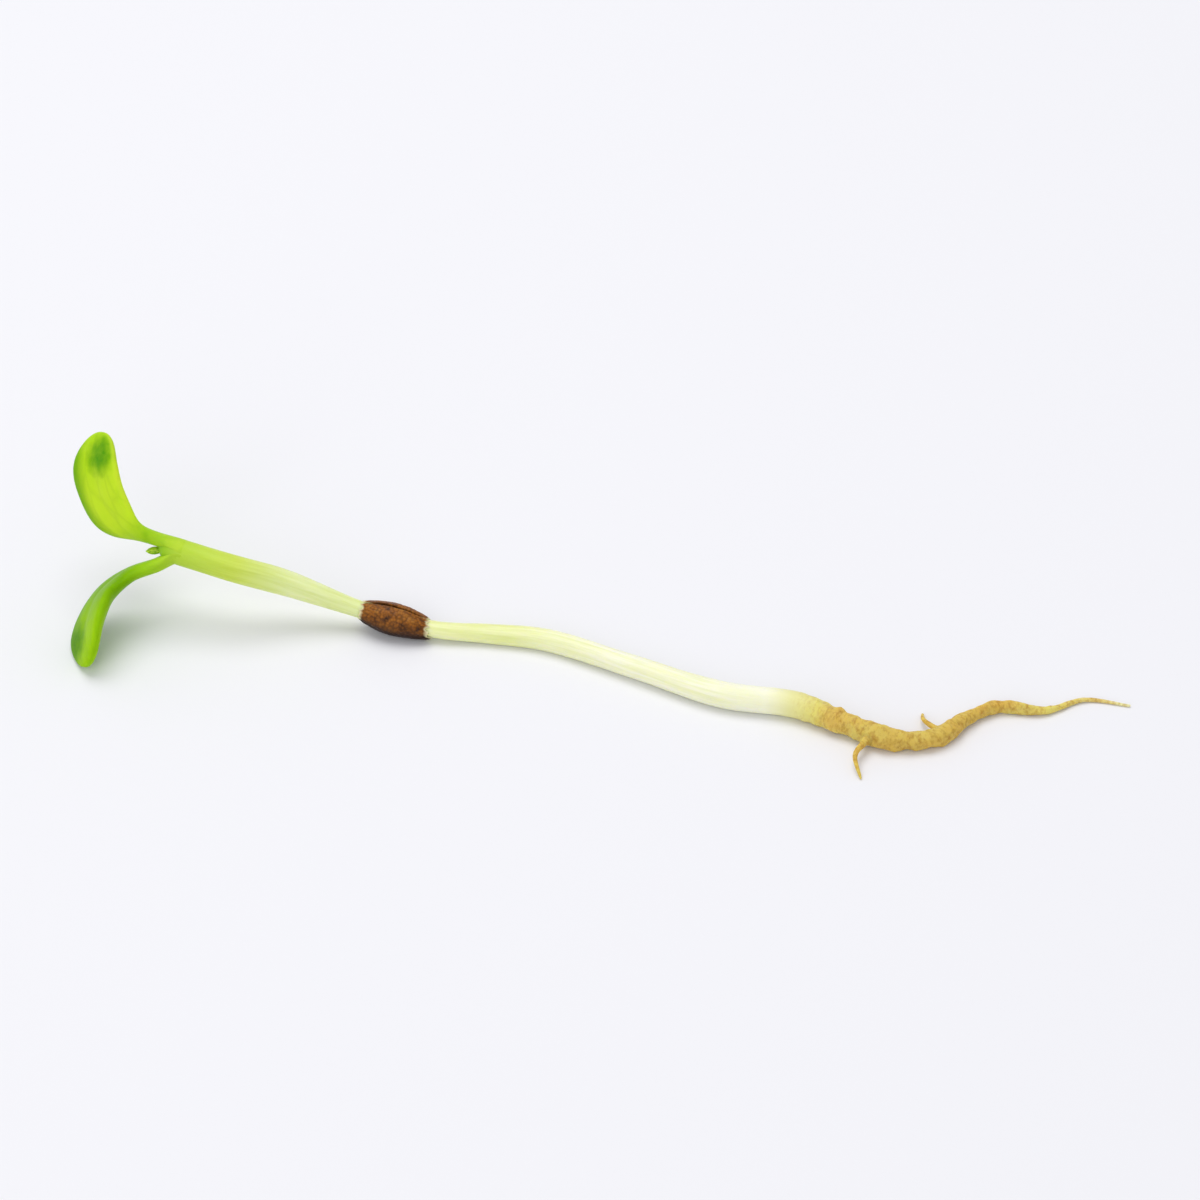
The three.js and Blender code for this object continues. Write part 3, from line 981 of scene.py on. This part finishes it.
class SPROUT_OT_husk(Operator):
    """Wrap the split husk of the seed round the stem"""

    bl_idname = "sprout.husk"
    bl_label = "Seed husk"

    columns = 110  # round the stem
    rows = 64  # along the stem
    slit_at = math.radians(95)  # up and a little behind
    slit = math.radians(11)
    tears = [(0.09, 2.2, 4), (0.05, 7, 9)]  # share of half the husk, fineness, place in the noise
    flap_at = math.radians(-35)  # down and in front
    flap = 0.24  # how far the flap's point reaches, as a share of half the husk
    flap_width = 0.4  # in radians
    fullness = 0.85  # of its bulge
    oval, oval_at = 0.05, 0.4  # of its section: a share of its radius, and an angle
    lumps = 0.04  # as a share of its radius
    lump_fineness = 1.4
    lining_from = (0.38, 0.47)  # shares of its length, from its middle
    frill_from = (0.4, 0.5)
    frill, frill_change, frill_fineness = 0.22, 0.25, 3.2  # how far the lining's frill reaches
    least_frill = 0.02
    wrinkle_fineness, wrinkle_stretch = 3.5, 0.5
    wrinkles, pebbles, lift = 0.7, 0.6, 0.2  # shares of the relief

    def execute(self, context):
        colours, sizes = look(context)
        bm = bmesh.new()
        straight = bm.verts.layers.float_vector.new("straight")
        lining = bm.verts.layers.float.new("lining")
        grid = {"x_segments": self.columns, "y_segments": self.rows, "size": 0.5}
        for vertex in bmesh.ops.create_grid(bm, **grid)["verts"]:
            turn, run = vertex.co.x, vertex.co.y
            angle = self.slit_at - self.slit / 2 - (turn + 0.5) * (math.tau - self.slit)
            point, unbent = self.place(angle, run, sizes)
            vertex.co = in_frame(point)
            vertex[straight] = unbent * MM
        middle = in_frame(axis.point(HUSK_MIDDLE_MM))
        bm.normal_update()
        if sum((face.calc_center_median() - middle).dot(face.normal) for face in bm.faces) < 0:
            bmesh.ops.reverse_faces(bm, faces=bm.faces[:])
            bm.normal_update()
        wall = bmesh.ops.solidify(bm, geom=bm.faces[:], thickness=sizes.husk_wall)["geom"]
        for item in wall:
            if isinstance(item, bmesh.types.BMVert):
                unbent = item[straight] / MM
                item[lining] = smoothstep(*self.lining_from, abs(unbent.z) / HUSK_LENGTH_MM)
                self.fray(item, unbent)
        finish_piece(context, bm, "seed_coat", husk_material(colours, sizes))
        return {"FINISHED"}

    def fray(self, vertex, unbent):
        """Pulls the lining out past the shell at both ends, as a ragged pale frill."""
        near_end = smoothstep(*self.frill_from, abs(unbent.z) / HUSK_LENGTH_MM)
        place = (*(unbent.xy * self.frill_fineness), math.copysign(6, unbent.z))
        ragged = self.frill + self.frill_change * noise.noise(place)
        along = axis.along(HUSK_MIDDLE_MM + unbent.z)
        vertex.co += along * math.copysign(max(ragged, self.least_frill), unbent.z) * near_end * MM

    def place(self, angle, run, sizes):
        """A point on the husk's outside, at an angle round it and a run of -0.5 to 0.5 along it."""
        unbent = Vector((math.cos(angle), math.sin(angle), 0)) * HUSK_MIDDLE_RADIUS_MM
        unbent.z = run * HUSK_LENGTH_MM
        torn = 0
        for tear, fineness, place in self.tears:
            torn += tear * round_noise(angle, fineness, math.copysign(place, run))
        if run > 0:
            from_flap = math.remainder(angle - self.flap_at, math.tau) / self.flap_width
            torn += self.flap * math.exp(-(from_flap**2))
        distance = HUSK_MIDDLE_MM + run * HUSK_LENGTH_MM * (1 + torn * (2 * run) ** 2)
        bulge = max(math.cos(math.pi * run), 0) ** self.fullness
        radius = HUSK_END_RADIUS_MM + (HUSK_MIDDLE_RADIUS_MM - HUSK_END_RADIUS_MM) * bulge
        lumps = self.lumps * noise.noise(unbent * self.lump_fineness)
        radius *= 1 + self.oval * math.cos(2 * (angle - self.oval_at)) + lumps
        pebbles = noise.voronoi(unbent * (MM / sizes.pebble))[0][0]
        creased = Vector((*unbent.xy, unbent.z * self.wrinkle_stretch)) * self.wrinkle_fineness
        relief = self.wrinkles * noise.fractal(creased, 1.0, 2.0, 3) - self.pebbles * pebbles + self.lift
        radius += sizes.husk_relief / MM * relief
        point, _ = on_section(axis.section(distance), angle, radius, distance)
        return point, unbent


class SPROUT_OT_taproot(Operator):
    """Grow the wrinkled root, from the collar to its fine tail"""

    bl_idname = "sprout.taproot"
    bl_label = "Taproot"

    sides = 24
    rings = 300
    wrinkles_from = (0, 1.2)  # past the collar
    fineness, fineness_along = 1.36, 2.21  # of the wrinkles, round and along the root
    full_wrinkles = 0.3  # the radius from which the wrinkles have their full height
    nubs = [(1.9, 2.2, 0.1), (4.4, 5.4, 0.09), (7.4, 1.2, 0.08), (9.0, 4.2, 0.06)]  # run, angle, height
    nub_length = 0.22
    nub_width = 0.16
    wrinkled_to = 0.06  # before the tail's end
    rounding = 0.05  # of the tail's end

    def execute(self, context):
        colours, sizes = look(context)
        wrinkle = sizes.root_wrinkle / MM

        def place(distance, angle):
            run = distance - STEM_LENGTH_MM
            radius = smooth_value(ROOT_RADII_MM, run)
            side, rise = math.cos(angle) * self.fineness, math.sin(angle) * self.fineness
            folds = Vector((side, rise, run * self.fineness_along))
            grown = smoothstep(*self.wrinkles_from, run) * min(radius / self.full_wrinkles, 1)
            radius += wrinkle * grown * noise.fractal(folds, 0.9, 2.1, 4)
            for at, turn, height in self.nubs:
                aside = math.remainder(angle - turn, math.tau) * radius / self.nub_width
                radius += height * math.exp(-(((run - at) / self.nub_length) ** 2 + aside**2))
            radius *= 1 - LAP_NARROWING * smoothstep(0, LAP_MM, -run)
            return on_section(axis.section(distance), angle, radius, distance)

        tail = axis.length
        rounded = [tail - self.rounding * (1 - math.sin(math.radians(turn))) for turn in (0, 30, 60)]
        wrinkled = steps_between(STEM_LENGTH_MM - LAP_MM, tail - self.wrinkled_to, self.rings)
        bm = grow(self.sides, wrinkled + rounded, place)
        finish_piece(context, bm, "taproot", root_material("root_moist_skin", colours, sizes))
        return {"FINISHED"}


class SPROUT_OT_side_roots(Operator):
    """Grow the two short side roots"""

    bl_idname = "sprout.side_roots"
    bl_label = "Side roots"

    sides = 16
    rings = 44
    sunk = 0.15  # how far each starts inside the taproot
    flare = 0.07  # how much thicker it is where it leaves the taproot
    flare_length = 0.12  # as a share of its length
    tip_from = 0.9  # the share of its length where its rounded tip begins
    roughness = 0.12  # as a share of the radius

    def execute(self, context):
        colours, sizes = look(context)
        material = root_material("side_root_moist_skin", colours, sizes)
        for rootlet in SIDE_ROOTLETS:
            self.grow_rootlet(context, rootlet, material)
        return {"FINISHED"}

    def grow_rootlet(self, context, rootlet, material):
        foot, tip, half = rootlet["foot"], rootlet["tip"], rootlet["length"] / 2
        distance = STEM_LENGTH_MM + rootlet["at"]
        centre, across, _ = axis.section(distance)
        outwards = across * rootlet["side"]
        start = centre + outwards * smooth_value(ROOT_RADII_MM, rootlet["at"])
        bend = start + outwards * half
        end = bend + outwards.lerp(axis.along(distance), ROOTLET_LEAN).normalized() * half
        end.z = tip
        route = Route([start - outwards * self.sunk, start, bend, end])

        def place(run, angle):
            share = run / route.length
            radius = foot + (tip - foot) * share
            radius += self.flare * math.exp(-((share / self.flare_length) ** 2))
            rounding = max((share - self.tip_from) / (1 - self.tip_from), 0)
            radius *= math.sqrt(max(1 - rounding**2, 0))
            radius *= 1 + self.roughness * round_noise(angle, 1, run * 4 + rootlet["at"])
            return on_section(route.section(run), angle, radius, distance + run)

        turns = [math.radians(turn) for turn in (20, 40, 60, 75, 86)]
        rounded = [self.tip_from + (1 - self.tip_from) * math.sin(turn) for turn in turns]
        stations = steps_between(0, route.length * self.tip_from, self.rings)
        bm = grow(self.sides, stations + [route.length * share for share in rounded], place)
        finish_piece(context, bm, rootlet["name"], material)


class SPROUT_OT_stage(Operator):
    """Lay a white floor, hang the softboxes and set the camera"""

    bl_idname = "sprout.stage"
    bl_label = "Stage"

    floor_half_width = 1.5
    key = {"away": Vector((-0.05, 0.09, 0.3)), "width": 0.26}
    fill = {"away": Vector((-0.14, -0.3, 0.2)), "width": 0.3}

    def execute(self, context):
        settings = context.scene.sprout_stage
        low, high = cad_box
        middle = (low + high) / 2
        self.lay_floor(context)
        self.set_surroundings(context, settings.sky)
        self.hang_softbox(context, "softbox_key", self.key, middle, settings.key_power)
        self.hang_softbox(context, "softbox_fill", self.fill, middle, settings.fill_power)
        self.set_camera(context, settings, middle, high.x - low.x)
        context.scene.view_settings.view_transform = "Standard"
        return {"FINISHED"}

    def lay_floor(self, context):
        bm = bmesh.new()
        bmesh.ops.create_grid(bm, x_segments=1, y_segments=1, size=self.floor_half_width)
        mesh = bpy.data.meshes.new("floor")
        bm.to_mesh(mesh)
        bm.free()
        floor = bpy.data.objects.new("floor", mesh)
        context.scene.collection.objects.link(floor)
        mesh.materials.append(floor_material(context.scene.sprout_colours))

    def set_surroundings(self, context, brightness):
        world = bpy.data.worlds.new("white_room")
        world.use_nodes = True
        tree = world.node_tree
        tree.nodes.clear()
        glow = add(tree, "Background", {"Color": linear("#fbfbff"), "Strength": brightness})
        add(tree, "OutputWorld", {"Surface": glow})
        context.scene.world = world

    def hang_softbox(self, context, name, box, target, power):
        lamp = bpy.data.lights.new(name, "AREA")
        lamp.shape = "DISK"
        lamp.size = box["width"]
        lamp.energy = power
        softbox = bpy.data.objects.new(name, lamp)
        softbox.location = target + box["away"]
        softbox.rotation_euler = (-box["away"]).to_track_quat("-Z", "Y").to_euler()
        context.scene.collection.objects.link(softbox)

    def set_camera(self, context, settings, middle, length):
        camera = bpy.data.objects.new("camera", bpy.data.cameras.new("camera"))
        camera.data.lens = settings.lens
        camera.data.clip_start = 0.01
        camera.data.clip_end = 20.0
        distance = length * settings.framing * camera.data.lens / camera.data.sensor_width
        back = Vector((0, -math.cos(settings.elevation), math.sin(settings.elevation)))
        camera.location = middle + back * distance
        camera.rotation_euler = (-back).to_track_quat("-Z", "Y").to_euler()
        context.scene.collection.objects.link(camera)
        context.scene.camera = camera


OPERATORS = [
    SPROUT_OT_stem,
    SPROUT_OT_seed_leaves,
    SPROUT_OT_bud,
    SPROUT_OT_husk,
    SPROUT_OT_taproot,
    SPROUT_OT_side_roots,
    SPROUT_OT_stage,
]


class SPROUT_PT_panel(Panel):
    """The sprout's pieces and settings, in the 3D view's sidebar"""

    bl_idname = "SPROUT_PT_panel"
    bl_label = "Alfalfa Sprout"
    bl_space_type = "VIEW_3D"
    bl_region_type = "UI"
    bl_category = "Sprout"

    def draw(self, context):
        for operator in OPERATORS:
            self.layout.operator(operator.bl_idname)
        for setting, group in SETTINGS.items():
            box = self.layout.box()
            for name in group.__annotations__:
                box.prop(getattr(context.scene, setting), name)


CLASSES = [SproutColours, SproutSizes, SproutStage, *OPERATORS, SPROUT_PT_panel]
SETTINGS = {
    "sprout_colours": SproutColours,
    "sprout_sizes": SproutSizes,
    "sprout_stage": SproutStage,
}


def register():
    for cls in CLASSES:
        bpy.utils.register_class(cls)
    for name, group in SETTINGS.items():
        setattr(bpy.types.Scene, name, PointerProperty(type=group))


def unregister():
    for name in SETTINGS:
        delattr(bpy.types.Scene, name)
    for cls in reversed(CLASSES):
        bpy.utils.unregister_class(cls)


def main():
    """Makes every piece and the stage."""
    register()
    bpy.ops.sprout.stem()
    bpy.ops.sprout.seed_leaves()
    bpy.ops.sprout.bud()
    bpy.ops.sprout.husk()
    bpy.ops.sprout.taproot()
    bpy.ops.sprout.side_roots()
    bpy.ops.sprout.stage()
    bpy.context.view_layer.update()


if __name__ == "__main__":
    main()
